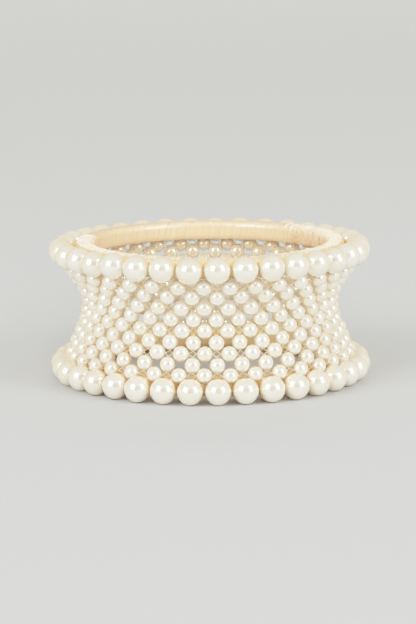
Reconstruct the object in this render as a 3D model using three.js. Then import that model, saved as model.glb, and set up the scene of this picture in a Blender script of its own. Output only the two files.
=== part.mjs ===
// Beaded bangle: two ribbon-wound hoops, each ringed by large pearls, and between them
// a waisted net of small pearls that lie in the hollows of one another.
// Millimetres, +Z up along the bangle's axis. The bangle stands on its lower ring of pearls,
// and the origin lies on the surface under its centre. The front is towards -Y.

import * as THREE from "three";

const PEARLS_AROUND = 35; // in each ring and in each row of the net
const FRONT_PEARL_ANGLE = THREE.MathUtils.degToRad(2.6); // the front pearl, right of straight ahead

const LARGE_RADIUS = 3.1;
const SMALL_RADIUS = 1.9;
const THREAD_RADIUS = 0.35;

const RING_RADIUS = 36.0; // to the centres of the large pearls
const RING_SPACING = 28.4; // between the two rings, centre to centre
const MIDDLE = LARGE_RADIUS + RING_SPACING / 2;

const UNEVENNESS = 0.15; // how far a hand-sewn large pearl strays from its ring
const UPPER_RING_SAG = 1.0; // how much lower the upper ring is sewn at the back

const HOOP_INNER_RADIUS = 28.6;
const HOOP_WIDTH = 4.1;
const HOOP_HEIGHT = 4.7;
const HOOP_INNER_CHAMFER = 1.0;
const HOOP_OUTER_CHAMFER = 1.6;
const HOOP_OFFSET = 13.85; // from the middle of the bangle to the middle of each hoop
const HOOP_FACETS = 35;

// The net's rows, from the lower hoop to the upper one. The heights are those at the front;
// towards the back a row rises by its back_lift.
const NET_ROWS = [
  { radius: 33.5, height: 6.35, back_lift: 0.0 },
  { radius: 32.4, height: 8.65, back_lift: 0.5 },
  { radius: 31.3, height: 11.1, back_lift: 0.95 },
  { radius: 30.2, height: 13.5, back_lift: 1.3 },
  { radius: 29.6, height: 16.15, back_lift: 1.45 },
  { radius: 29.5, height: 18.9, back_lift: 1.5 },
  { radius: 30.5, height: 21.75, back_lift: 1.5 },
  { radius: 32.0, height: 24.7, back_lift: 0.8 },
  { radius: 33.7, height: 27.2, back_lift: 0.0 },
];

const LOWER_RING_STRETCHES = 6;
const NET_STRETCHES = 17;

// A strung pearl is a few flat-sided bands. Each cross-section stands this far along the
// thread from the pearl's centre, and this far out from it, both in pearl radii.
const LARGE_BEAD = {
  sides: 6,
  sections: [
    { along: -0.6, out: 0.8 },
    { along: 0, out: 1 },
    { along: 0.6, out: 0.8 },
  ],
};
const SMALL_BEAD = {
  sides: 4,
  sections: [
    { along: -0.385, out: 0.885 },
    { along: 0.385, out: 0.885 },
  ],
};
const OWN_PEARL_SEGMENTS = { around: 6, upright: 5 };

const pearlLacquer = new THREE.MeshStandardMaterial({
  name: "pearl_lacquer",
  color: 0xf1eadb,
  roughness: 0.25,
  metalness: 0,
});
const woundRibbon = new THREE.MeshStandardMaterial({
  name: "satin_ribbon",
  color: 0xf3dfbd,
  roughness: 0.5,
  metalness: 0,
});

// The angle of a pearl, counted from the front and growing towards +X. Whole indices are the
// pearls of the rings, and a pearl of the net may lie half an index on.
function pearlAngle(index) {
  return FRONT_PEARL_ANGLE + (index * 2 * Math.PI) / PEARLS_AROUND;
}

function atAngle(radius, height, angle) {
  return new THREE.Vector3(radius * Math.sin(angle), -radius * Math.cos(angle), height);
}

// A repeatable stray between -UNEVENNESS and UNEVENNESS that differs from pearl to pearl.
function stray(index, seed) {
  return UNEVENNESS * Math.sin(index * 2.4 + seed) * Math.cos(index * 0.9 + 2 * seed);
}

// How much of a rise or sag at the back has come in at an angle: 0 at the front, 1 at the back.
function backShare(angle) {
  return (1 - Math.cos(angle)) / 2;
}

function upperPearlCentre(index) {
  const angle = pearlAngle(index);
  const height = MIDDLE + RING_SPACING / 2 + stray(index, 2) - UPPER_RING_SAG * backShare(angle);
  return atAngle(RING_RADIUS + stray(index, 1), height, angle);
}

// The lower pearls all touch the surface, so they stray only outwards and inwards.
function lowerPearlCentre(index) {
  const height = MIDDLE - RING_SPACING / 2;
  return atAngle(RING_RADIUS + stray(index, 3), height, pearlAngle(index));
}

// A strand of the net climbs aslant, half an index further round in each row.
function netPearlCentre(strand, rowIndex) {
  const row = NET_ROWS[rowIndex];
  const angle = pearlAngle(strand + (rowIndex + 1) / 2);
  return atAngle(row.radius, row.height + row.back_lift * backShare(angle), angle);
}

// A hoop of rounded rectangular section, with a flat top and a flat underside.
function hoopGeometry() {
  const inner = HOOP_INNER_RADIUS;
  const outer = HOOP_INNER_RADIUS + HOOP_WIDTH;
  const half = HOOP_HEIGHT / 2;
  const profile = [
    new THREE.Vector2(inner, half - HOOP_INNER_CHAMFER),
    new THREE.Vector2(inner, -half + HOOP_INNER_CHAMFER),
    new THREE.Vector2(inner + HOOP_INNER_CHAMFER, -half),
    new THREE.Vector2(outer - HOOP_OUTER_CHAMFER, -half),
    new THREE.Vector2(outer, -half + HOOP_OUTER_CHAMFER),
    new THREE.Vector2(outer, half - HOOP_OUTER_CHAMFER),
    new THREE.Vector2(outer - HOOP_OUTER_CHAMFER, half),
    new THREE.Vector2(inner + HOOP_INNER_CHAMFER, half),
    new THREE.Vector2(inner, half - HOOP_INNER_CHAMFER),
  ];
  const geometry = new THREE.LatheGeometry(profile, HOOP_FACETS);
  return geometry.rotateX(Math.PI / 2);
}

// The cross-sections of a string of pearls, in order along its thread. Pearls that touch
// share one thread section, and pearls that stand apart have one where each hole ends.
function stringSections(centres, radius, bead) {
  const directions = centres.slice(1).map((next, i) => next.clone().sub(centres[i]).normalize());
  const sections = [];
  centres.forEach((centre, i) => {
    const arriving = directions[Math.max(i - 1, 0)];
    const leaving = directions[Math.min(i, directions.length - 1)];
    const through = arriving.clone().add(leaving).normalize();
    for (const { along, out } of bead.sections) {
      const middle = centre.clone().addScaledVector(through, along * radius);
      sections.push({ middle, direction: through, radius: out * radius });
    }
    if (i === directions.length) return;
    const spacing = centre.distanceTo(centres[i + 1]);
    const apart = spacing > 2.4 * radius;
    for (const distance of apart ? [radius, spacing - radius] : [spacing / 2]) {
      const middle = centre.clone().addScaledVector(leaving, distance);
      sections.push({ middle, direction: leaving, radius: THREAD_RADIUS });
    }
  });
  const ends = [
    centres[0].clone().addScaledVector(directions[0], -radius),
    centres.at(-1).clone().addScaledVector(directions.at(-1), radius),
  ];
  return { sections, ends };
}

// One closed body through the sections of a string. Each section is turned by half a side
// against the one before, so that the bands between them are triangles that alternate.
function stringGeometry(centres, radius, bead) {
  const { sections, ends } = stringSections(centres, radius, bead);
  const { sides } = bead;
  const points = sections.flatMap(({ middle, direction, radius: out }, i) => {
    const radial = new THREE.Vector3(middle.x, middle.y, 0).normalize();
    const across = new THREE.Vector3().crossVectors(direction, radial).normalize();
    const outward = new THREE.Vector3().crossVectors(across, direction);
    return Array.from({ length: sides }, (_, side) => {
      const turn = ((side + i / 2) * 2 * Math.PI) / sides;
      return middle
        .clone()
        .addScaledVector(outward, out * Math.cos(turn))
        .addScaledVector(across, out * Math.sin(turn));
    });
  });
  const first = points.push(ends[0]) - 1;
  const last = points.push(ends[1]) - 1;
  const lastSection = (sections.length - 1) * sides;
  const triangles = [];
  for (let side = 0; side < sides; side++) {
    const next = (side + 1) % sides;
    triangles.push(first, next, side);
    triangles.push(last, lastSection + side, lastSection + next);
    for (let from = 0; from < lastSection; from += sides) {
      const to = from + sides;
      triangles.push(from + side, from + next, to + side);
      triangles.push(to + side, from + next, to + next);
    }
  }
  const geometry = new THREE.BufferGeometry().setFromPoints(points);
  geometry.setIndex(triangles);
  return geometry;
}

// The indices from 0 to PEARLS_AROUND, shared out evenly between the stretches.
function stretches(count) {
  const bounds = Array.from({ length: count + 1 }, (_, i) => Math.round((i * PEARLS_AROUND) / count));
  return bounds.slice(1).map((end, i) => {
    return Array.from({ length: end - bounds[i] }, (_, k) => bounds[i] + k);
  });
}

// The thread of a stretch of net climbs one strand of pearls and comes down the next.
function netThread(strands) {
  const rowIndices = NET_ROWS.map((_, i) => i);
  return strands.flatMap((strand, turn) => {
    const order = turn % 2 === 0 ? rowIndices : rowIndices.toReversed();
    return order.map((rowIndex) => netPearlCentre(strand, rowIndex));
  });
}

function numbered(name, index) {
  return `${name}_${String(index + 1).padStart(2, "0")}`;
}

function piece(name, geometry, material) {
  const mesh = new THREE.Mesh(geometry, material);
  mesh.name = name;
  return mesh;
}

function hoop(name, height) {
  const mesh = piece(name, hoopGeometry(), woundRibbon);
  mesh.position.z = height;
  return mesh;
}

function upperPearls() {
  const group = new THREE.Group();
  const { around, upright } = OWN_PEARL_SEGMENTS;
  for (let i = 0; i < PEARLS_AROUND; i++) {
    const sphere = new THREE.SphereGeometry(LARGE_RADIUS, around, upright).rotateX(Math.PI / 2);
    const pearl = piece(numbered("upper_pearl", i), sphere, pearlLacquer);
    pearl.position.copy(upperPearlCentre(i));
    pearl.rotation.z = pearlAngle(i);
    group.add(pearl);
  }
  return group;
}

function lowerPearls() {
  const group = new THREE.Group();
  stretches(LOWER_RING_STRETCHES).forEach((indices, i) => {
    const centres = indices.map(lowerPearlCentre);
    const geometry = stringGeometry(centres, LARGE_RADIUS, LARGE_BEAD);
    group.add(piece(numbered("lower_pearls", i), geometry, pearlLacquer));
  });
  return group;
}

function pearlNet() {
  const group = new THREE.Group();
  stretches(NET_STRETCHES).forEach((strands, i) => {
    const geometry = stringGeometry(netThread(strands), SMALL_RADIUS, SMALL_BEAD);
    group.add(piece(numbered("net_pearls", i), geometry, pearlLacquer));
  });
  return group;
}

function bangle() {
  const group = new THREE.Group();
  group.add(hoop("upper_hoop", MIDDLE + HOOP_OFFSET));
  group.add(hoop("lower_hoop", MIDDLE - HOOP_OFFSET));
  group.add(upperPearls());
  group.add(lowerPearls());
  group.add(pearlNet());
  return group;
}

const group = bangle();
export default group;
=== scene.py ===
import math

import bmesh
import bpy
import numpy as np
from mathutils import Matrix, Vector


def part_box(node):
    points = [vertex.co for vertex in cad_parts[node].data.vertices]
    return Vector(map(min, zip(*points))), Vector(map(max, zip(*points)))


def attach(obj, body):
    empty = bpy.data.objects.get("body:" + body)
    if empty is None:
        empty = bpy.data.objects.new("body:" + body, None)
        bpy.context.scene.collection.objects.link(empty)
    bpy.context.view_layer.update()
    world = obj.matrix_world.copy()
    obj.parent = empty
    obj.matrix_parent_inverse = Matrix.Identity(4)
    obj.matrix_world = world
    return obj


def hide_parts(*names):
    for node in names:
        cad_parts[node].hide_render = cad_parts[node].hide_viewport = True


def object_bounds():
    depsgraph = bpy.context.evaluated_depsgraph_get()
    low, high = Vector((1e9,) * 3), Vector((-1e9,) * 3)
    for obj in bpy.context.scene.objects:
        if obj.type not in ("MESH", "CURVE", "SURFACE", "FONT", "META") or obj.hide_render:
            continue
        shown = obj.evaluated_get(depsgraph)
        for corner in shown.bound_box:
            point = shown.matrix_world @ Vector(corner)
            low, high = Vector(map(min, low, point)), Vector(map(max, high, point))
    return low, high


bl_info = {
    "name": "Beaded Bangle",
    "version": (1, 0, 0),
    "blender": (4, 5, 0),
    "location": "View3D > Sidebar > Bangle",
    "description": "Makes a bangle of lacquered pearls threaded between two ribbon-wound hoops",
    "category": "Add Mesh",
}

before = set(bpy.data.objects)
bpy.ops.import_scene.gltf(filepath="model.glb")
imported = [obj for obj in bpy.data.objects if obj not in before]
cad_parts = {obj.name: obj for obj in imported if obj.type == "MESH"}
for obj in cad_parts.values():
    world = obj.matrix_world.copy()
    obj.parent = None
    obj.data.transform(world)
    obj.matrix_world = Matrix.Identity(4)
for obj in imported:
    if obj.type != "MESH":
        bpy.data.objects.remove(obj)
CAD_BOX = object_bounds()

MM = 0.001

# The stringing plan, as the part's source has it, in millimetres.
PEARLS_AROUND = 35
FRONT_PEARL_ANGLE = math.radians(2.6)
UNEVENNESS = 0.15
RING_RADIUS = 36.0
LOWER_RING_HEIGHT = 3.1
UPPER_RING_HEIGHT = 31.5
UPPER_RING_SAG = 1.0
# Each row of the net: its radius, its height at the front, and its rise towards the back.
NET_ROWS = (
    (33.5, 6.35, 0.0),
    (32.4, 8.65, 0.5),
    (31.3, 11.1, 0.95),
    (30.2, 13.5, 1.3),
    (29.6, 16.15, 1.45),
    (29.5, 18.9, 1.5),
    (30.5, 21.75, 1.5),
    (32.0, 24.7, 0.8),
    (33.7, 27.2, 0.0),
)

# How square the section of a hoop is, outside and towards the wrist. 2 would be round.
OUTER_CORNER, INNER_CORNER = 3.2, 3.8
# Where floss lies over the upper hoop, in degrees right of the front.
FLOSS_REACH = (-106, 135)
FLOSS_STEPS = 18  # the straight steps that a bent strand is made of
FLOSS_SUNK = 0.03  # how deep its ends lie in the ribbon, in millimetres
# Where thread goes into the ribbon, in millimetres from the axis: the net's, and the rings'.
NET_SEWN_RADIUS, RING_SEWN_RADIUS = 32.3, 32.4
# The net's outer rows, each with the height at which it is sewn to the ribbon.
SEWN_ROWS = ((8, 29.3), (0, 5.3))
STITCH_RISE = 0.6


def nodes_named(start):
    """The CAD nodes whose names begin with start, in order."""
    return sorted(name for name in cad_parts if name.startswith(start))


# ---------------------------------------------------------------- settings


def size(name, description, millimetres, **more):
    """A length that a user can change, with its default in millimetres."""
    return bpy.props.FloatProperty(
        name=name,
        description=description,
        default=millimetres * MM,
        min=0.0,
        precision=5,
        subtype="DISTANCE",
        unit="LENGTH",
        **more,
    )


def share(name, description, default):
    """A number from 0 to 1 that a user can change."""
    return bpy.props.FloatProperty(
        name=name, description=description, default=default, min=0.0, max=1.0, subtype="FACTOR"
    )


def amount(name, description, default, **more):
    """A brightness or a power that a user can change."""
    return bpy.props.FloatProperty(name=name, description=description, default=default, min=0.0, **more)


def linear(hex_colour):
    """An sRGB hex colour as the linear RGBA that Blender's sockets take."""
    shares = [int(hex_colour[i : i + 2], 16) / 255 for i in (1, 3, 5)]
    return [s / 12.92 if s <= 0.04045 else ((s + 0.055) / 1.055) ** 2.4 for s in shares] + [1.0]


def colour(name, description, hex_colour):
    """A colour that a user can change."""
    return bpy.props.FloatVectorProperty(
        name=name,
        description=description,
        default=linear(hex_colour),
        size=4,
        min=0.0,
        max=1.0,
        subtype="COLOR",
    )


class PearlSettings(bpy.types.PropertyGroup):
    """Sizes and colours of the lacquered pearls."""

    ring_diameter: size("Ring pearl", "Diameter of the large pearls round each hoop", 6.2)
    net_diameter: size("Net pearl", "Diameter of the small pearls of the net", 3.8)
    bore_diameter: size("Bore", "Diameter of the hole drilled through each pearl", 0.34)
    sorting: share("Sorting", "How far one pearl's size strays from the next", 0.02)
    body_colour: colour("Body", "Lacquer over most pearls", "#FAF1E0")
    deep_colour: colour("Deeper body", "Lacquer of the creamiest pearls", "#F6EACE")
    # Painted shade: the honey painted on the sides of the pearls that face in, where warm shade falls
    # between them.
    painted_shade_colour: colour("Glaze", "Honey-tinted lacquer on a pearl's sheltered sides", "#FFDDA0")
    # Painted shade: the amber painted on the sides that face in of the lowest pearls, where warm shade
    # falls by the table.
    low_shade_colour: colour("Aged", "Lacquer run down and yellowed on the lowest pearls", "#F2B45C")


class HoopSettings(bpy.types.PropertyGroup):
    """Sizes and colours of the two wound hoops."""

    inner_radius: size("Wrist opening", "Radius of the opening inside the ribbon", 28.65)
    width: size("Hoop width", "Width of the wound hoop, from the wrist outwards", 4.2)
    turns: bpy.props.IntProperty(
        name="Turns", description="Turns of ribbon round each hoop", default=31, min=12, max=90
    )
    lap: size("Lap", "Height of a ribbon's edge over the turn it covers", 0.13)
    light_colour: colour("Ribbon", "Satin where its threads lie flat", "#F6D8AE")
    deep_colour: colour("Ribbon, between threads", "Satin in the furrows of the weave", "#EBC492")
    # Painted shade: the amber painted on the satin behind the pearls and over the lower hoop, where
    # warm shade falls.
    painted_gap_colour: colour("Glued side", "Satin where glue has soaked in, behind the pearls", "#FBCB7C")


class ThreadSettings(bpy.types.PropertyGroup):
    """Thickness and colour of the stringing thread."""

    diameter: size("Thread", "Diameter of the stringing thread", 0.22)
    colour: colour("Thread colour", "Waxed polyester thread", "#F7DAA8")


class FlossSettings(bpy.types.PropertyGroup):
    """Thickness, spacing and colours of the loose floss on the upper hoop."""

    diameter: size("Strand", "Thickness of one strand of floss", 0.24)
    bundle: size("Bundle", "Thickness of a bundle of strands", 0.5)
    spacing: bpy.props.FloatProperty(
        name="Spacing", description="Degrees round the hoop from strand to strand", default=1.0, min=0.1
    )
    seed: bpy.props.IntProperty(
        name="Seed", description="Another way for the strands to lie", default=17
    )
    light_colour: colour("Floss", "Rayon floss on the crown", "#FAEBD0")
    # Painted shade: the darker colour painted on the floss low on the inner face, where less light
    # falls.
    deep_colour: colour("Worn floss", "Floss rubbed darker low on the inner face", "#E3AD72")


class StageSettings(bpy.types.PropertyGroup):
    """Floor and light of the plain studio."""

    floor_colour: colour("Floor", "Pale paper under the bangle", "#CED0D1")
    ceiling: amount("Ceiling", "Brightness of the pale ceiling", 0.2)
    walls: amount("Walls", "Brightness of the room low down", 0.35)
    front: amount("Front", "Brightness of the white card before the bangle", 0.4)
    left_box: amount("Left box", "Power of the broad soft box", 13.0, unit="POWER")
    right_box: amount("Right box", "Power of the tall, narrow soft box", 10.5, unit="POWER")
    fill: amount("Fill light", "Power of the light by the camera", 13.0, unit="POWER")
    far_light: amount("Paper light", "Power of the lamp over the far paper", 8.0, unit="POWER")
    white_level: bpy.props.FloatProperty(
        name="White level", description="Light that is shown as pure white", default=0.9, min=0.5
    )


# ---------------------------------------------------------------- node trees and materials


def node(tree, kind, inputs=None, **settings):
    """Adds a node with its settings. An input takes a value, a socket or a node's first output."""
    made = tree.nodes.new(kind)
    for name, value in settings.items():
        setattr(made, name, value)
    for name, value in (inputs or {}).items():
        if isinstance(name, int):
            socket = made.inputs[name]
        else:
            socket = next(s for s in made.inputs if s.enabled and s.name == name)
        if isinstance(value, bpy.types.Node):
            value = next(s for s in value.outputs if s.enabled)
        if isinstance(value, bpy.types.NodeSocket):
            tree.links.new(value, socket)
        else:
            socket.default_value = value
    return made


def lacquered_pearl(tree, settings):
    """Moulded beads dipped in pearl essence and clear lacquer: cream body and hard gloss, with warm
    shade painted honey on the sides that face in and on the lowest pearls.
    """
    coordinates = node(tree, "ShaderNodeTexCoord").outputs
    place = coordinates["Object"]
    tone = node(tree, "ShaderNodeAttribute", attribute_name="tone").outputs["Fac"]
    # Clouds in the essence, a little over two millimetres across.
    clouds = node(
        tree, "ShaderNodeTexNoise", {"Vector": place, "Scale": 420.0, "Detail": 3.0, "Roughness": 0.55}
    )
    cloud_share = node(
        tree,
        "ShaderNodeMapRange",
        {"Value": clouds, "From Min": 0.3, "From Max": 0.7, "To Min": -0.2, "To Max": 0.2},
    )
    mix = node(tree, "ShaderNodeMath", {0: tone, 1: cloud_share}, operation="ADD", use_clamp=True)
    body = node(
        tree,
        "ShaderNodeMix",
        {"Factor": mix, "A": settings.body_colour[:], "B": settings.deep_colour[:]},
        data_type="RGBA",
    )
    # Painted shade: the sides that face in, towards the axis and the pearls beside, are painted honey.
    # This stands in for the warm light and shade between the pearls.
    flat = node(tree, "ShaderNodeVectorMath", {0: place, 1: (1.0, 1.0, 0.0)}, operation="MULTIPLY")
    outwards = node(tree, "ShaderNodeVectorMath", {0: flat}, operation="NORMALIZE")
    facing = node(
        tree, "ShaderNodeVectorMath", {0: coordinates["Normal"], 1: outwards}, operation="DOT_PRODUCT"
    )
    painted_shade_share = node(
        tree, "ShaderNodeMapRange", {"Value": facing, "From Min": 0.6, "From Max": 0.0, "To Max": 0.3}
    )
    body_with_painted_shade = node(
        tree,
        "ShaderNodeMix",
        {"Factor": painted_shade_share, "A": body, "B": settings.painted_shade_colour[:]},
        data_type="RGBA",
    )
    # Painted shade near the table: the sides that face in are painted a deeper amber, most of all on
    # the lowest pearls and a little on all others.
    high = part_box("lower_hoop")[1]
    height = node(tree, "ShaderNodeSeparateXYZ", {"Vector": place}).outputs["Z"]
    near_floor = node(
        tree,
        "ShaderNodeMapRange",
        {"Value": height, "From Min": high.z + 1 * MM, "From Max": 0.0, "To Min": 0.3, "To Max": 1.6},
    )
    rim = node(
        tree, "ShaderNodeMath", {0: near_floor, 1: painted_shade_share}, operation="MULTIPLY", use_clamp=True
    )
    body_with_low_shade = node(
        tree,
        "ShaderNodeMix",
        {"Factor": rim, "A": body_with_painted_shade, "B": settings.low_shade_colour[:]},
        data_type="RGBA",
    )
    # The essence settles in faint flow marks a third of a millimetre apart.
    flow = node(
        tree, "ShaderNodeTexNoise", {"Vector": place, "Scale": 2600.0, "Detail": 2.0, "Distortion": 0.8}
    )
    gloss = node(
        tree,
        "ShaderNodeMapRange",
        {"Value": flow, "From Min": 0.25, "From Max": 0.75, "To Min": 0.29, "To Max": 0.31},
    )
    relief = node(tree, "ShaderNodeBump", {"Height": clouds, "Strength": 0.1, "Distance": 0.04 * MM})
    return node(
        tree,
        "ShaderNodeBsdfPrincipled",
        {
            "Base Color": body_with_low_shade,
            "Roughness": gloss,
            "Normal": relief,
            "Metallic": 0.1,
            "IOR": 1.75,
            "Specular Tint": linear("#EEFFF2"),
            "Coat Weight": 1.0,
            "Coat Roughness": 0.04,
            "Coat IOR": 4.0,
        },
    )


def satin_ribbon(tree, settings):
    """Woven polyester satin: a streak of gloss across its long floats, which lie along the ribbon.
    The map's U runs across the ribbon and its V along it, in millimetres."""
    on_ribbon = node(tree, "ShaderNodeUVMap", uv_map="ribbon").outputs["UV"]
    # Floats eight millimetres long, drawn a fifth of one wide so that they show, and wider bands.
    fine_place = node(tree, "ShaderNodeMapping", {"Vector": on_ribbon, "Scale": (5.2, 0.12, 1.0)})
    fine = node(
        tree,
        "ShaderNodeTexNoise",
        {"Vector": fine_place, "Scale": 1.0, "Detail": 3.0, "Roughness": 0.6},
    )
    broad_place = node(tree, "ShaderNodeMapping", {"Vector": on_ribbon, "Scale": (1.6, 0.06, 1.0)})
    broad = node(tree, "ShaderNodeTexNoise", {"Vector": broad_place, "Scale": 1.0, "Detail": 2.0})
    floats = node(tree, "ShaderNodeMix", {"Factor": 0.3, "A": fine, "B": broad}, data_type="FLOAT")
    depth = node(tree, "ShaderNodeMapRange", {"Value": floats, "From Min": 0.38, "From Max": 0.58})
    dye = node(
        tree,
        "ShaderNodeMix",
        {"Factor": depth, "A": settings.deep_colour[:], "B": settings.light_colour[:]},
        data_type="RGBA",
    )
    # Painted shade: the side behind the pearls, seen in the gaps between them, and the lower hoop,
    # which lies in shade, are painted amber for the warm light and shade there.
    outward = node(tree, "ShaderNodeAttribute", attribute_name="outward").outputs["Fac"]
    behind_pearls = node(tree, "ShaderNodeMapRange", {"Value": outward, "From Min": 0.45, "From Max": 0.9})
    place = node(tree, "ShaderNodeTexCoord").outputs["Object"]
    height = node(tree, "ShaderNodeSeparateXYZ", {"Vector": place}).outputs["Z"]
    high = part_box("lower_hoop")[1]
    on_lower_hoop = node(
        tree,
        "ShaderNodeMapRange",
        {"Value": height, "From Min": high.z + 4 * MM, "From Max": high.z, "To Max": 0.8},
    )
    painted_gap_shade = node(tree, "ShaderNodeMath", {0: behind_pearls, 1: on_lower_hoop}, operation="MAXIMUM")
    dye_with_painted_shade = node(
        tree,
        "ShaderNodeMix",
        {"Factor": painted_gap_shade, "A": dye, "B": settings.painted_gap_colour[:]},
        data_type="RGBA",
    )
    gloss = node(
        tree,
        "ShaderNodeMapRange",
        {"Value": fine, "From Min": 0.3, "From Max": 0.7, "To Min": 0.34, "To Max": 0.28},
    )
    relief = node(tree, "ShaderNodeBump", {"Height": floats, "Strength": 0.4, "Distance": 0.08 * MM})
    # The floats gloss in a streak across themselves, which follows the rounded edges of the hoop.
    across = node(tree, "ShaderNodeTangent", direction_type="UV_MAP", uv_map="ribbon")
    return node(
        tree,
        "ShaderNodeBsdfPrincipled",
        {
            "Base Color": dye_with_painted_shade,
            "Roughness": gloss,
            "Normal": relief,
            "Tangent": across,
            "IOR": 2.0,
            "Anisotropic": 0.98,
            # The heat-set face of satin: a narrow bright line along the hoop's edge.
            "Coat Weight": 0.75,
            "Coat Roughness": 0.16,
            "Coat IOR": 1.9,
        },
    )


def waxed_thread(tree, settings):
    """Twisted polyester thread drawn through wax: slightly darker between its plies."""
    place = node(tree, "ShaderNodeTexCoord").outputs["Object"]
    # Plies, drawn a fifth of a millimetre apart, coarser than real ones, so that they show.
    plies = node(
        tree, "ShaderNodeTexNoise", {"Vector": place, "Scale": 5200.0, "Detail": 2.0, "Roughness": 0.5}
    )
    pale = settings.colour[:]
    dark = [channel * 0.72 for channel in pale[:3]] + [1.0]
    dye = node(tree, "ShaderNodeMix", {"Factor": plies, "A": dark, "B": pale}, data_type="RGBA")
    gloss = node(tree, "ShaderNodeMapRange", {"Value": plies, "To Min": 0.62, "To Max": 0.45})
    relief = node(tree, "ShaderNodeBump", {"Height": plies, "Strength": 0.5, "Distance": 0.04 * MM})
    return node(
        tree,
        "ShaderNodeBsdfPrincipled",
        {"Base Color": dye, "Roughness": gloss, "Normal": relief, "Sheen Weight": 0.2},
    )


def rayon_floss(tree, settings):
    """Untwisted rayon floss, glossy along its filaments, with painted shade: darker low on the hoop and
    paler on its crown.
    """
    place = node(tree, "ShaderNodeTexCoord").outputs["Object"]
    low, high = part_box("upper_hoop")
    height = node(tree, "ShaderNodeSeparateXYZ", {"Vector": place}).outputs["Z"]
    # Painted shade: the floss is painted paler on the crown and darker lower down the hoop, as the
    # light falls, and random rubbed patches vary it.
    crown = node(tree, "ShaderNodeMapRange", {"Value": height, "From Min": low.z, "From Max": high.z})
    # The rubbed patches are under a millimetre across.
    patches = node(tree, "ShaderNodeTexNoise", {"Vector": place, "Scale": 1500.0, "Detail": 2.0})
    worn = node(
        tree,
        "ShaderNodeMapRange",
        {"Value": patches, "From Min": 0.3, "From Max": 0.7, "To Min": -0.4, "To Max": 0.4},
    )
    lit_and_unworn = node(tree, "ShaderNodeMath", {0: crown, 1: worn}, operation="ADD", use_clamp=True)
    dye = node(
        tree,
        "ShaderNodeMix",
        {"Factor": lit_and_unworn, "A": settings.deep_colour[:], "B": settings.light_colour[:]},
        data_type="RGBA",
    )
    # Filaments, drawn a tenth of a millimetre apart, coarser than real ones, so that they show.
    filaments = node(tree, "ShaderNodeTexNoise", {"Vector": place, "Scale": 9000.0, "Detail": 1.0})
    gloss = node(tree, "ShaderNodeMapRange", {"Value": filaments, "To Min": 0.34, "To Max": 0.22})
    relief = node(
        tree, "ShaderNodeBump", {"Height": filaments, "Strength": 0.25, "Distance": 0.02 * MM}
    )
    return node(
        tree,
        "ShaderNodeBsdfPrincipled",
        {"Base Color": dye, "Roughness": gloss, "Normal": relief, "IOR": 2.0},
    )


def studio_paper(tree, settings):
    """Uncoated background paper, with a barely seen mottle a hand's breadth across."""
    place = node(tree, "ShaderNodeTexCoord").outputs["Object"]
    mottle = node(tree, "ShaderNodeTexNoise", {"Vector": place, "Scale": 9.0, "Detail": 3.0})
    pale = settings.floor_colour[:]
    dark = [channel * 0.985 for channel in pale[:3]] + [1.0]
    tint = node(tree, "ShaderNodeMix", {"Factor": mottle, "A": dark, "B": pale}, data_type="RGBA")
    return node(
        tree,
        "ShaderNodeBsdfPrincipled",
        {"Base Color": tint, "Roughness": 0.85, "Specular IOR Level": 0.2},
    )


def made_once(name, make, settings):
    """The material of that name. On first use, make adds its nodes and returns its shader."""
    material = bpy.data.materials.get(name)
    if not material:
        material = bpy.data.materials.new(name)
        material.use_nodes = True
        tree = material.node_tree
        tree.nodes.clear()
        node(tree, "ShaderNodeOutputMaterial", {"Surface": make(tree, settings)})
    return material


def new_tree(name, sizes):
    """A Geometry Nodes tree from geometry to geometry, with a named input for each of sizes."""
    tree = bpy.data.node_groups.new(name, "GeometryNodeTree")
    tree.interface.new_socket("Geometry", in_out="INPUT", socket_type="NodeSocketGeometry")
    for label, (kind, default) in sizes.items():
        socket = tree.interface.new_socket(label, in_out="INPUT", socket_type="NodeSocket" + kind)
        if default is not None:
            socket.default_value = default
    tree.interface.new_socket("Geometry", in_out="OUTPUT", socket_type="NodeSocketGeometry")
    return tree


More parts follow.
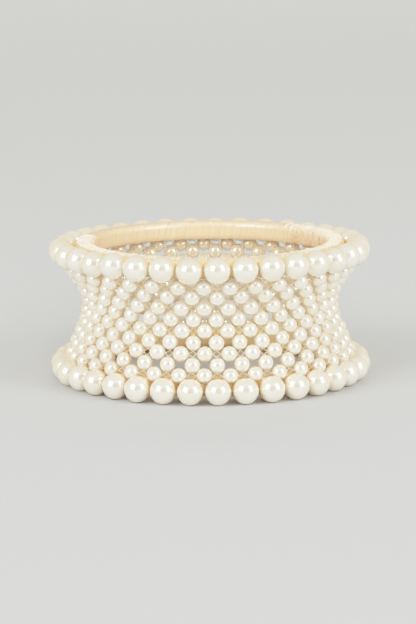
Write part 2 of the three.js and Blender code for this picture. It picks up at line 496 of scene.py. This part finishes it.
def strung_pearls_tree():
    """A drilled pearl on every point, its bore along the point's own direction."""
    tree = new_tree(
        "Strung pearls",
        {
            "Pearl Diameter": ("Float", 6.2 * MM),
            "Bore Diameter": ("Float", 0.34 * MM),
            "Sides": ("Int", 24),
            "Bands": ("Int", 14),
            "Sorting": ("Float", 0.02),
            "Material": ("Material", None),
        },
    )
    given = node(tree, "NodeGroupInput").outputs
    radius = node(tree, "ShaderNodeMath", {0: given["Pearl Diameter"], 1: 0.5}, operation="MULTIPLY")
    bore = node(tree, "ShaderNodeMath", {0: given["Bore Diameter"], 1: 0.5}, operation="MULTIPLY")

    # The pearl's outline from one end of its bore to the other, closed by the bore's wall.
    narrow = node(tree, "ShaderNodeMath", {0: bore, 1: radius}, operation="DIVIDE")
    reach = node(tree, "ShaderNodeMath", {0: narrow}, operation="ARCCOSINE")
    start = node(tree, "ShaderNodeMath", {0: reach, 1: -1.0}, operation="MULTIPLY")
    sweep = node(tree, "ShaderNodeMath", {0: reach, 1: 2.0}, operation="MULTIPLY")
    outline = node(
        tree,
        "GeometryNodeCurveArc",
        {"Resolution": given["Bands"], "Radius": radius, "Start Angle": start, "Sweep Angle": sweep},
        mode="RADIUS",
    )
    inward = node(tree, "ShaderNodeMath", {0: bore, 1: -1.0}, operation="MULTIPLY")
    shift = node(tree, "ShaderNodeCombineXYZ", {"X": inward})
    centred = node(tree, "GeometryNodeTransform", {"Geometry": outline, "Translation": shift})
    closed = node(tree, "GeometryNodeSetSplineCyclic", {"Geometry": centred, "Cyclic": True})
    mouth = node(
        tree, "GeometryNodeCurvePrimitiveCircle", {"Resolution": given["Sides"], "Radius": bore}
    )
    turned = node(tree, "GeometryNodeCurveToMesh", {"Curve": mouth, "Profile Curve": closed})
    smooth = node(tree, "GeometryNodeSetShadeSmooth", {"Geometry": turned})
    # The bore's rim stays sharp.
    fold = node(tree, "GeometryNodeInputMeshEdgeAngle")
    rim = node(
        tree,
        "FunctionNodeCompare",
        {"A": fold, "B": math.radians(55)},
        data_type="FLOAT",
        operation="GREATER_THAN",
    )
    pearl = node(
        tree,
        "GeometryNodeSetShadeSmooth",
        {"Geometry": smooth, "Selection": rim, "Shade Smooth": False},
        domain="EDGE",
    )

    # One pearl to a point, each turned on its thread and a little larger or smaller.
    direction = node(
        tree, "GeometryNodeInputNamedAttribute", {"Name": "bore"}, data_type="FLOAT_VECTOR"
    )
    along = node(tree, "FunctionNodeAlignRotationToVector", {"Vector": direction}, axis="Z")
    turn = node(
        tree, "FunctionNodeRandomValue", {"Min": 0.0, "Max": math.tau, "Seed": 3}, data_type="FLOAT"
    )
    spin = node(tree, "FunctionNodeAxisAngleToRotation", {"Axis": (0.0, 0.0, 1.0), "Angle": turn})
    laid = node(
        tree,
        "FunctionNodeRotateRotation",
        {"Rotation": along, "Rotate By": spin},
        rotation_space="LOCAL",
    )
    least = node(tree, "ShaderNodeMath", {0: 1.0, 1: given["Sorting"]}, operation="SUBTRACT")
    most = node(tree, "ShaderNodeMath", {0: 1.0, 1: given["Sorting"]}, operation="ADD")
    bulk = node(
        tree, "FunctionNodeRandomValue", {"Min": least, "Max": most, "Seed": 11}, data_type="FLOAT"
    )
    threaded = node(
        tree,
        "GeometryNodeInstanceOnPoints",
        {"Points": given["Geometry"], "Instance": pearl, "Rotation": laid, "Scale": bulk},
    )
    shade = node(
        tree, "FunctionNodeRandomValue", {"Min": 0.0, "Max": 1.0, "Seed": 29}, data_type="FLOAT"
    )
    toned = node(
        tree,
        "GeometryNodeStoreNamedAttribute",
        {"Geometry": threaded, "Name": "tone", "Value": shade},
        data_type="FLOAT",
        domain="INSTANCE",
    )
    real = node(tree, "GeometryNodeRealizeInstances", {"Geometry": toned})
    finished = node(tree, "GeometryNodeSetMaterial", {"Geometry": real, "Material": given["Material"]})
    node(tree, "NodeGroupOutput", {"Geometry": finished})
    return tree


def laid_threads_tree():
    """A round thread along every run of edges."""
    tree = new_tree(
        "Laid threads",
        {"Thread Diameter": ("Float", 0.26 * MM), "Sides": ("Int", 6), "Material": ("Material", None)},
    )
    given = node(tree, "NodeGroupInput").outputs
    radius = node(tree, "ShaderNodeMath", {0: given["Thread Diameter"], 1: 0.5}, operation="MULTIPLY")
    runs = node(tree, "GeometryNodeMeshToCurve", {"Mesh": given["Geometry"]})
    section = node(
        tree, "GeometryNodeCurvePrimitiveCircle", {"Resolution": given["Sides"], "Radius": radius}
    )
    tube = node(
        tree, "GeometryNodeCurveToMesh", {"Curve": runs, "Profile Curve": section, "Fill Caps": True}
    )
    smooth = node(tree, "GeometryNodeSetShadeSmooth", {"Geometry": tube})
    real = node(tree, "GeometryNodeRealizeInstances", {"Geometry": smooth})
    finished = node(tree, "GeometryNodeSetMaterial", {"Geometry": real, "Material": given["Material"]})
    node(tree, "NodeGroupOutput", {"Geometry": finished})
    return tree


def tree_named(name, make):
    """The tree of that name, made on first use."""
    return bpy.data.node_groups.get(name) or make()


def grown(name, guide, tree, sizes):
    """A plain mesh object: the tree's result on the guide mesh, with sizes for its named inputs."""
    source = bpy.data.objects.new(name + "_guide", guide)
    bpy.context.scene.collection.objects.link(source)
    modifier = source.modifiers.new("grow", "NODES")
    modifier.node_group = tree
    for socket in tree.interface.items_tree:
        if socket.in_out == "INPUT" and socket.name in sizes:
            modifier[socket.identifier] = sizes[socket.name]
    graph = bpy.context.evaluated_depsgraph_get()
    mesh = bpy.data.meshes.new_from_object(
        source.evaluated_get(graph), preserve_all_data_layers=True, depsgraph=graph
    )
    bpy.data.objects.remove(source)
    if not mesh.polygons:
        raise RuntimeError(f"{name} came out empty")
    return placed(name, mesh)


def placed(name, mesh):
    """An object for the mesh, at the origin."""
    mesh.name = name
    piece = bpy.data.objects.new(name, mesh)
    bpy.context.scene.collection.objects.link(piece)
    return piece


def fitted(piece, slot, *cad_nodes):
    """The piece rides on the bangle and stands for the CAD nodes, which it hides. The slot is not used.
    """
    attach(piece, "root")
    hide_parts(*cad_nodes)


# ---------------------------------------------------------------- where the pearls hang


def pearl_angle(place):
    """The angle, right of the front, of a place in the ring. Half places lie between pearls."""
    return FRONT_PEARL_ANGLE + place * math.tau / PEARLS_AROUND


def at_angle(radius, height, angle):
    """A point at that radius and height in millimetres, at an angle right of the front, in metres."""
    return Vector((radius * math.sin(angle), -radius * math.cos(angle), height)) * MM


def sideways(angle):
    """The direction along the ring, to the right as seen from outside."""
    return Vector((math.cos(angle), math.sin(angle), 0.0))


def stray(place, seed):
    """How far a hand-sewn pearl strays, in millimetres."""
    return UNEVENNESS * math.sin(place * 2.4 + seed) * math.cos(place * 0.9 + seed * 2)


def back_share(angle):
    """How much of a rise or sag at the back has come in at an angle: 0 at the front, 1 at the back."""
    return (1 - math.cos(angle)) / 2


def ring_pearl(ring, place):
    """The centre of a large pearl of the upper or lower ring."""
    angle = pearl_angle(place)
    if ring == "lower":
        return at_angle(RING_RADIUS + stray(place, 3), LOWER_RING_HEIGHT, angle)
    height = UPPER_RING_HEIGHT + stray(place, 2) - UPPER_RING_SAG * back_share(angle)
    return at_angle(RING_RADIUS + stray(place, 1), height, angle)


def net_height(row, angle):
    """The height of a row of the net at an angle, in millimetres."""
    _, height, back_lift = NET_ROWS[row]
    return height + back_lift * back_share(angle)


def net_pearl(row, place):
    """The centre of a net pearl. The outer rows and every second one between them hold half places."""
    angle = pearl_angle(place)
    return at_angle(NET_ROWS[row][0], net_height(row, angle), angle)


def lengthways(row, angle):
    """The direction up the net across a row, along its waisted outline."""
    below, above = max(row - 1, 0), min(row + 1, len(NET_ROWS) - 1)
    run = at_angle(NET_ROWS[above][0], net_height(above, angle), angle)
    return (run - at_angle(NET_ROWS[below][0], net_height(below, angle), angle)).normalized()


def net_places(row):
    """The places that a row's pearls hold."""
    offset = 0.5 if row % 2 == 0 else 0.0
    return [place + offset for place in range(PEARLS_AROUND)]


def net_bore(row, place):
    """The bore's direction: along the ring in half-place rows, up the net in the others."""
    angle = pearl_angle(place)
    return sideways(angle) if row % 2 == 0 else lengthways(row, angle)


def bored_points(name, places, bores):
    """A mesh of points, each with the direction of its pearl's bore."""
    mesh = bpy.data.meshes.new(name)
    mesh.from_pydata([tuple(p) for p in places], [], [])
    directions = mesh.attributes.new("bore", "FLOAT_VECTOR", "POINT")
    directions.data.foreach_set("vector", [value for bore in bores for value in bore])
    return mesh


def check_inside(cad_names, points):
    """Stops if a pearl isn't in the box of the CAD solids that it stands for."""
    boxes = [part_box(name) for name in cad_names]
    low = Vector([min(box[0][axis] for box in boxes) for axis in range(3)])
    high = Vector([max(box[1][axis] for box in boxes) for axis in range(3)])
    for point in points:
        if not all(low[axis] < point[axis] < high[axis] for axis in range(3)):
            raise RuntimeError(f"the pearl at {tuple(point)} lies outside its CAD solids")


# ---------------------------------------------------------------- pieces


def strung(name, centres, bores, cad_nodes, sizes):
    """Drilled pearls at the centres, each along its bore, that stand for the CAD nodes."""
    check_inside(cad_nodes, centres)
    settings = bpy.context.scene.bangle_pearls
    lacquer = made_once("lacquered_pearl", lacquered_pearl, settings)
    sizes = {**sizes, "Bore Diameter": settings.bore_diameter, "Material": lacquer}
    guide = bored_points(name + "_points", centres, bores)
    piece = grown(name, guide, tree_named("Strung pearls", strung_pearls_tree), sizes)
    fitted(piece, "pearl_lacquer", *cad_nodes)


class BANGLE_OT_ring_pearls(bpy.types.Operator):
    """Make the ring of large pearls round each hoop"""

    bl_idname = "bangle.ring_pearls"
    bl_label = "Ring pearls"

    def execute(self, context):
        settings = context.scene.bangle_pearls
        sizes = {
            "Pearl Diameter": settings.ring_diameter,
            "Sides": 28,
            "Bands": 16,
            "Sorting": settings.sorting * 0.5,  # large pearls are sorted twice as closely
        }
        places = range(PEARLS_AROUND)
        bores = [sideways(pearl_angle(place)) for place in places]
        for ring, start in (("upper", "upper_pearl_"), ("lower", "lower_pearls_")):
            centres = [ring_pearl(ring, place) for place in places]
            strung(f"{ring}_ring_pearls", centres, bores, nodes_named(start), sizes)
        return {"FINISHED"}


class BANGLE_OT_net_pearls(bpy.types.Operator):
    """Make the net of small pearls between the hoops"""

    bl_idname = "bangle.net_pearls"
    bl_label = "Net pearls"

    def execute(self, context):
        settings = context.scene.bangle_pearls
        sizes = {
            "Pearl Diameter": settings.net_diameter,
            "Sides": 14,
            "Bands": 9,
            "Sorting": settings.sorting,
        }
        centres, bores = [], []
        for row in range(len(NET_ROWS)):
            for place in net_places(row):
                # The weave holds its pearls more evenly than the rings are sewn.
                loose = Vector((stray(place, row + 4), stray(place, row + 9), stray(place, row + 7)))
                centres.append(net_pearl(row, place) + loose * 0.6 * MM)
                bores.append(net_bore(row, place))
        strung("net_pearls", centres, bores, nodes_named("net_pearls_"), sizes)
        return {"FINISHED"}


def ripple(run, waves, seed):
    """A smooth unevenness between about -1 and 1 that closes on itself as run goes from 0 to 1."""
    counts = (waves, waves * 2 + 3, waves * 3 + 7)
    shares = (0.5, 0.32, 0.18)
    return sum(s * np.sin(math.tau * n * run + seed * (n + 1.7)) for n, s in zip(counts, shares))


def wound_hoop_mesh(name, middle_height, height, settings, seed):
    """A hoop under overlapping turns of one ribbon. The columns of the mesh follow the ribbon as
    it winds, so a full turn round the hoop's section joins a column to the next turn's."""
    turns, steps, rows = settings.turns, 20, 48
    # Where the columns lie across a turn, from 0 at its own edge, where they are closest, to 1.
    steps_across = np.concatenate([[0.0, 0.014, 0.035, 0.07], np.linspace(0.12, 0.985, steps - 4)])
    column = np.arange(turns * steps)[:, None]
    turn, across = column // steps, steps_across[column % steps]
    round_section = np.arange(rows)[None, :] / rows
    wound = (turn + round_section) / turns  # how far along the whole ribbon, from 0 to 1
    next_wound = wound + 1 / turns

    # Where this turn's edge and the next one's lie along the hoop, in turns.
    wander = 0.10
    edge = turn + round_section + wander * ripple(wound, 23, seed)
    next_edge = turn + 1 + round_section + wander * ripple(next_wound, 23, seed)
    angle = (edge + (next_edge - edge) * across) * math.tau / turns

    # Its height over the core: a step at its own edge, down to nothing where the next turn covers it.
    lap = settings.lap * (1 + 0.3 * ripple(wound, 17, seed + 2))
    puff = 0.35 * settings.lap * np.sin(math.pi * across)
    crease = 0.16 * settings.lap * (
        np.sin(math.tau * (3.1 * across + 0.8 * ripple(wound, 13, seed + 4)))
        + np.sin(math.tau * (6.3 * across + 0.9 * ripple(wound, 19, seed + 5)))
    )
    inside = np.clip(-np.cos(math.tau * round_section), 0, 1)  # 1 on the face towards the wrist
    raised = lap * (1 - across) + puff + crease * (0.5 + 0.7 * inside) * np.sin(math.pi * across)
    raised = np.where(across == 0.0, 0.0, raised)

    # The section: an upright oblong with rounded corners, rounder outside than in.
    turn_angle = math.tau * round_section
    half_width, half_height = settings.width / 2, height / 2
    corner = 2 / np.where(np.cos(turn_angle) < 0, INNER_CORNER, OUTER_CORNER)
    out = half_width * np.sign(np.cos(turn_angle)) * np.abs(np.cos(turn_angle)) ** corner
    up = half_height * np.sign(np.sin(turn_angle)) * np.abs(np.sin(turn_angle)) ** corner
    steer = np.sqrt((out / half_width**2) ** 2 + (up / half_height**2) ** 2) + 1e-12
    out = out + (raised - settings.lap) * out / half_width**2 / steer
    up = up + (raised - settings.lap) * up / half_height**2 / steer

    radius = settings.inner_radius + half_width + out
    points = np.stack(
        [radius * np.sin(angle), -radius * np.cos(angle), middle_height + up + 0 * angle], axis=-1
    )
    faces, ribbon_map = [], []
    columns = turns * steps
    # The ribbon's map, in millimetres: a little over once round the section, and from turn to turn.
    girth = 4.2 * (half_width + half_height) / MM
    pitch = math.tau * (settings.inner_radius + half_width) / turns / MM
    for i in range(columns):
        start = steps_across[i % steps] * pitch
        end = (steps_across[(i + 1) % steps] or 1.0) * pitch
        for j in range(rows):
            over = i + steps if j + 1 == rows else i
            above = (j + 1) % rows
            faces.append(
                (
                    i * rows + j,
                    (i + 1) % columns * rows + j,
                    (over + 1) % columns * rows + above,
                    over % columns * rows + above,
                )
            )
            low = (i // steps + j / rows) * girth
            high = low + girth / rows
            ribbon_map += [start, low, end, low, end, high, start, high]
    mesh = bpy.data.meshes.new(name)
    mesh.from_pydata(points.reshape(-1, 3).tolist(), [], faces)
    mesh.uv_layers.new(name="ribbon").uv.foreach_set("vector", ribbon_map)
    # How far each point faces outwards; the ribbon's material paints warm shade behind the pearls with
    # it.
    facing_out = np.broadcast_to(np.cos(turn_angle), angle.shape)
    mesh.attributes.new("outward", "FLOAT", "POINT").data.foreach_set("value", facing_out.ravel())
    shell = bmesh.new()
    shell.from_mesh(mesh)
    bmesh.ops.recalc_face_normals(shell, faces=shell.faces)
    shell.to_mesh(mesh)
    shell.free()
    mesh.shade_smooth()
    return mesh


def hoop_skin(low, high, angle, round_section, lift):
    """A point at an angle right of the front and part of the way round the section of the hoop
    between low and high, from outside over its crown, lift millimetres over the ribbon."""
    settings = bpy.context.scene.bangle_hoops
    half_width, half_height = settings.width / 2, (high - low) / 2
    out, up = math.cos(math.tau * round_section), math.sin(math.tau * round_section)
    corner = 2 / (INNER_CORNER if out < 0 else OUTER_CORNER)
    out = math.copysign(abs(out) ** corner, out) * (half_width + lift * MM)
    up = math.copysign(abs(up) ** corner, up) * (half_height + lift * MM)
    radius = settings.inner_radius + half_width + out
    return at_angle(radius / MM, ((low + high) / 2 + up) / MM, angle)


def floss_strands(seed, spacing, shortest, longest):
    """Paths of floss over the upper hoop, from outside over its crown and down its inner face to
    between the shortest and longest share of the way round. Spacing is in degrees."""
    chance = np.random.default_rng(seed)
    low, high = (corner.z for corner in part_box("upper_hoop"))
    angle, last = FLOSS_REACH
    while angle < last:
        angle += spacing * chance.uniform(0.6, 1.4)
        start, end = chance.uniform(0.15, 0.2), chance.uniform(shortest, longest)
        slant, bow = chance.uniform(-0.4, 2.2), chance.uniform(-0.7, 0.7)
        lift = chance.uniform(0.0, 0.16)
        strand = []
        for step in range(FLOSS_STEPS + 1):
            along = step / FLOSS_STEPS
            bend = slant * along + bow * math.sin(math.pi * along)
            rise = lift * math.sin(math.pi * min(1.0, along * 1.1)) - FLOSS_SUNK
            round_section = start + (end - start) * along
            strand.append(hoop_skin(low, high, math.radians(angle + bend), round_section, rise))
        yield strand, False


def run_mesh(name, runs):
    """Edges from point to point of each run. A closed run's last point is joined to its first."""
    points, edges = [], []
    for run, closed in runs:
        first = len(points)
        points += [tuple(point) for point in run]
        edges += [(i, i + 1) for i in range(first, len(points) - 1)]
        if closed:
            edges.append((len(points) - 1, first))
    mesh = bpy.data.meshes.new(name)
    mesh.from_pydata(points, edges, [])
    return mesh


class BANGLE_OT_loose_floss(bpy.types.Operator):
    """Make the glossy floss wound over the front and the sides of the upper hoop"""

    bl_idname = "bangle.loose_floss"
    bl_label = "Loose floss"

    def execute(self, context):
        settings = context.scene.bangle_floss
        floss = made_once("glossy_rayon_floss", rayon_floss, settings)
        seed, spacing = settings.seed, settings.spacing
        for name, diameter, strands in (
            ("loose_floss", settings.diameter, floss_strands(seed, spacing, 0.5, 0.63)),
            ("floss_bundles", settings.bundle, floss_strands(seed + 1, 3.4 * spacing, 0.3, 0.5)),
        ):
            tree = tree_named("Laid threads", laid_threads_tree)
            sizes = {"Thread Diameter": diameter, "Material": floss}
            piece = grown(name, run_mesh(name + "_runs", strands), tree, sizes)
            fitted(piece, "satin_ribbon")
        return {"FINISHED"}


class BANGLE_OT_wound_hoops(bpy.types.Operator):
    """Make the two hoops under their overlapping turns of satin ribbon"""

    bl_idname = "bangle.wound_hoops"
    bl_label = "Wound hoops"

    def execute(self, context):
        settings = context.scene.bangle_hoops
        ribbon = made_once("wound_satin_ribbon", satin_ribbon, settings)
        for cad_node, seed in (("upper_hoop", 1.0), ("lower_hoop", 6.0)):
            low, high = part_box(cad_node)
            mesh = wound_hoop_mesh(cad_node, (low.z + high.z) / 2, high.z - low.z, settings, seed)
            mesh.materials.append(ribbon)
            fitted(placed(f"wound_{cad_node}", mesh), "satin_ribbon", cad_node)
        return {"FINISHED"}


def bore_mouth(row, place, end, depth=0.0):
    """Where a net pearl's thread leaves it: end is 1 or -1 along the bore. Depth is inside it."""
    reach = end * (bpy.context.scene.bangle_pearls.net_diameter / 2 - depth)
    return net_pearl(row, place) + net_bore(row, place) * reach


def thread_runs():
    """Every visible run of thread, as a list of points, and whether it closes on itself."""
    deep = 0.5 * MM  # how far a run reaches into a bore
    for ring in ("upper", "lower"):
        yield [ring_pearl(ring, place) for place in range(PEARLS_AROUND)], True
    for place in range(PEARLS_AROUND):
        # Between the half-place rows each crossing is a small square of thread.
        for row in range(0, len(NET_ROWS), 2):
            mouths = [(row, place - 0.5, 1), (row, place + 0.5, -1)]
            if row + 1 < len(NET_ROWS):
                mouths.insert(1, (row + 1, place, -1))
            if row > 0:
                mouths.append((row - 1, place, 1))
            for one, other in zip(mouths, mouths[1:] + mouths[:1]):
                if {one[0], other[0]} == {row} and len(mouths) < 4:
                    continue
                yield [
                    bore_mouth(*one, deep),
                    bore_mouth(*one),
                    bore_mouth(*other),
                    bore_mouth(*other, deep),
                ], False
    for place in range(PEARLS_AROUND):
        angle = pearl_angle(place)
        # The net's outer rows are sewn to the ribbon, and so is each ring between its pearls, by
        # one stitch above and one below.
        for row, height in SEWN_ROWS:
            anchor = at_angle(NET_SEWN_RADIUS, height, angle)
            for beside, end in ((-0.5, 1), (0.5, -1)):
                yield [
                    bore_mouth(row, place + beside, end, deep),
                    bore_mouth(row, place + beside, end),
                    anchor,
                ], False
        between = pearl_angle(place + 0.5)
        for ring, height in (("upper", UPPER_RING_HEIGHT), ("lower", LOWER_RING_HEIGHT)):
            on_thread = (ring_pearl(ring, place) + ring_pearl(ring, place + 1)) / 2
            for rise in (-STITCH_RISE, STITCH_RISE):
                yield [on_thread, at_angle(RING_SEWN_RADIUS, height + rise, between)], False


class BANGLE_OT_threads(bpy.types.Operator):
    """Make the thread that strings the rings, weaves the net and sews both to the hoops"""

    bl_idname = "bangle.threads"
    bl_label = "Threads"

    def execute(self, context):
        settings = context.scene.bangle_threads
        thread = made_once("waxed_thread", waxed_thread, settings)
        sizes = {"Thread Diameter": settings.diameter, "Material": thread}
        tree = tree_named("Laid threads", laid_threads_tree)
        piece = grown("threads", run_mesh("runs", thread_runs()), tree, sizes)
        fitted(piece, "satin_ribbon")
        return {"FINISHED"}


def area_light(name, power, wide, tall, place):
    """A soft box that shines straight down until it is turned."""
    light = bpy.data.lights.new(name, "AREA")
    light.shape, light.size, light.size_y, light.energy = "RECTANGLE", wide, tall, power
    lamp = bpy.data.objects.new(name, light)
    lamp.location = place
    bpy.context.scene.collection.objects.link(lamp)
    return lamp


def studio_room(settings):
    """A plain pale room for the bangle to reflect, darker between the two soft boxes."""
    world = bpy.data.worlds.new("studio")
    world.use_nodes = True
    tree = world.node_tree
    tree.nodes.clear()
    direction = node(tree, "ShaderNodeTexCoord").outputs["Generated"]
    parts = node(tree, "ShaderNodeSeparateXYZ", {"Vector": direction}).outputs
    wall = node(
        tree,
        "ShaderNodeMapRange",
        {
            "Value": parts["Y"],
            "From Min": -0.1,
            "From Max": -0.9,
            "To Min": settings.walls,
            "To Max": settings.front,
        },
    )
    pale = node(
        tree,
        "ShaderNodeMapRange",
        {"Value": parts["Z"], "From Min": 0.1, "To Min": wall, "To Max": settings.ceiling},
    )
    # It is dark round the fill light and comes up between 18 and 32 degrees away from it.
    front = node(
        tree, "ShaderNodeVectorMath", {0: direction, 1: (0.05, -0.965, 0.25)}, operation="DOT_PRODUCT"
    )
    dim = node(
        tree,
        "ShaderNodeMapRange",
        {"Value": front, "From Min": 0.85, "From Max": 0.95, "To Min": 1.0, "To Max": 0.0},
    )
    strength = node(tree, "ShaderNodeMath", {0: pale, 1: dim}, operation="MULTIPLY")
    # The walls beside and behind are a warm cream, the card and the ceiling white.
    beside = node(
        tree, "ShaderNodeMapRange", {"Value": parts["Y"], "From Min": -0.75, "From Max": -0.2}
    )
    low_down = node(
        tree,
        "ShaderNodeMapRange",
        {"Value": parts["Z"], "From Min": 0.3, "From Max": 0.7, "To Min": 1.0, "To Max": 0.0},
    )
    cream = node(tree, "ShaderNodeMath", {0: beside, 1: low_down}, operation="MULTIPLY")
    tint = node(
        tree,
        "ShaderNodeMix",
        {"Factor": cream, "A": linear("#FBFFFC"), "B": linear("#FFE6BC")},
        data_type="RGBA",
    )
    room = node(tree, "ShaderNodeBackground", {"Color": tint, "Strength": strength})
    node(tree, "ShaderNodeOutputWorld", {"Surface": room})
    return world


def soft_boxes(settings, middle):
    """The lamps round the middle of the bangle, and one over the far paper."""
    distance = 2.5
    # Each one's degrees right of the front and above the table, and its width and height.
    for name, power, turn, rise, wide, tall in (
        ("left_box", settings.left_box, -46, 28, 1.65, 1.75),
        ("right_box", settings.right_box, 54, 27, 1.15, 2.0),
        ("fill_light", settings.fill, 6, 14, 0.9, 0.9),
    ):
        turn, rise = math.radians(turn), math.radians(rise)
        away = Vector(
            (math.sin(turn) * math.cos(rise), -math.cos(turn) * math.cos(rise), math.sin(rise))
        )
        lamp = area_light(name, power, wide, tall, middle + away * distance)
        lamp.rotation_mode = "QUATERNION"
        lamp.rotation_quaternion = away.to_track_quat("Z", "Y")
    # The fill light by the camera reaches into the net and shows in no highlight.
    lamp.visible_glossy = False
    # A lamp high over the far paper keeps it as pale as the near.
    lamp = area_light("paper_light", settings.far_light, 2.4, 1.2, Vector((0.0, 2.3, 1.9)))
    lamp.visible_glossy = False


def long_lens(middle):
    """A camera with a long lens, a little above the table, aimed just below the middle."""
    distance, rise, roll = 0.6, math.radians(10.3), math.radians(-0.5)
    camera = bpy.data.objects.new("camera", bpy.data.cameras.new("camera"))
    camera.data.sensor_width, camera.data.lens, camera.data.clip_start = 36.0, 141.9, 0.05
    look = Vector((0.0, math.cos(rise), -math.sin(rise)))
    turned = look.to_track_quat("-Z", "Y").to_matrix() @ Matrix.Rotation(roll, 3, "Z")
    aim = middle + turned @ Vector((-0.5, -1.9, 0.0)) * MM
    camera.matrix_world = Matrix.Translation(aim - look * distance) @ turned.to_4x4()
    bpy.context.scene.collection.objects.link(camera)
    return camera


class BANGLE_OT_stage(bpy.types.Operator):
    """Make the floor, the soft light and the camera"""

    bl_idname = "bangle.stage"
    bl_label = "Studio"

    def execute(self, context):
        settings = context.scene.bangle_stage
        scene = context.scene
        low, high = CAD_BOX
        middle = (low + high) / 2

        shape = bmesh.new()
        bmesh.ops.create_circle(shape, cap_ends=True, segments=96, radius=6.0)
        mesh = bpy.data.meshes.new("floor")
        shape.to_mesh(mesh)
        shape.free()
        mesh.transform(Matrix.Translation((0.0, 0.0, low.z - 0.02 * MM)))
        mesh.materials.append(made_once("studio_paper", studio_paper, settings))
        placed("floor", mesh)

        scene.world = studio_room(settings)
        soft_boxes(settings, middle)
        scene.camera = long_lens(middle)

        # A camera's tone curve: the brightest tones are drawn together below pure white.
        view = scene.view_settings
        view.view_transform = "Standard"
        view.use_curve_mapping = True
        view.curve_mapping.white_level = (settings.white_level,) * 3
        shoulder = view.curve_mapping.curves[3].points
        for light, tone in ((0.04, 0.12), (0.1125, 0.3), (0.3125, 0.67), (0.4375, 0.81), (0.625, 0.92)):
            shoulder.new(light, tone)
        view.curve_mapping.update()
        return {"FINISHED"}


class BANGLE_PT_panel(bpy.types.Panel):
    """The bangle's sizes and colours, and a button for each group of pieces"""

    bl_idname = "BANGLE_PT_panel"
    bl_label = "Beaded Bangle"
    bl_space_type = "VIEW_3D"
    bl_region_type = "UI"
    bl_category = "Bangle"

    def draw(self, context):
        layout = self.layout
        for holder, operators in PANEL_ROWS:
            box = layout.box()
            settings = getattr(context.scene, holder)
            for name in settings.__annotations__:
                box.prop(settings, name)
            for operator in operators:
                box.operator(operator.bl_idname)


SETTINGS = {
    "bangle_pearls": PearlSettings,
    "bangle_hoops": HoopSettings,
    "bangle_threads": ThreadSettings,
    "bangle_floss": FlossSettings,
    "bangle_stage": StageSettings,
}
PANEL_ROWS = (
    ("bangle_pearls", (BANGLE_OT_ring_pearls, BANGLE_OT_net_pearls)),
    ("bangle_hoops", (BANGLE_OT_wound_hoops,)),
    ("bangle_threads", (BANGLE_OT_threads,)),
    ("bangle_floss", (BANGLE_OT_loose_floss,)),
    ("bangle_stage", (BANGLE_OT_stage,)),
)
CLASSES = (
    *SETTINGS.values(),
    BANGLE_OT_ring_pearls,
    BANGLE_OT_net_pearls,
    BANGLE_OT_wound_hoops,
    BANGLE_OT_loose_floss,
    BANGLE_OT_threads,
    BANGLE_OT_stage,
    BANGLE_PT_panel,
)


def register():
    for made in CLASSES:
        bpy.utils.register_class(made)
    for name, group in SETTINGS.items():
        setattr(bpy.types.Scene, name, bpy.props.PointerProperty(type=group))


def unregister():
    for name in SETTINGS:
        delattr(bpy.types.Scene, name)
    for made in reversed(CLASSES):
        bpy.utils.unregister_class(made)


def main():
    """Makes the whole bangle and its studio."""
    register()
    bpy.ops.bangle.ring_pearls()
    bpy.ops.bangle.net_pearls()
    bpy.ops.bangle.wound_hoops()
    bpy.ops.bangle.loose_floss()
    bpy.ops.bangle.threads()
    bpy.ops.bangle.stage()


if __name__ == "__main__":
    main()
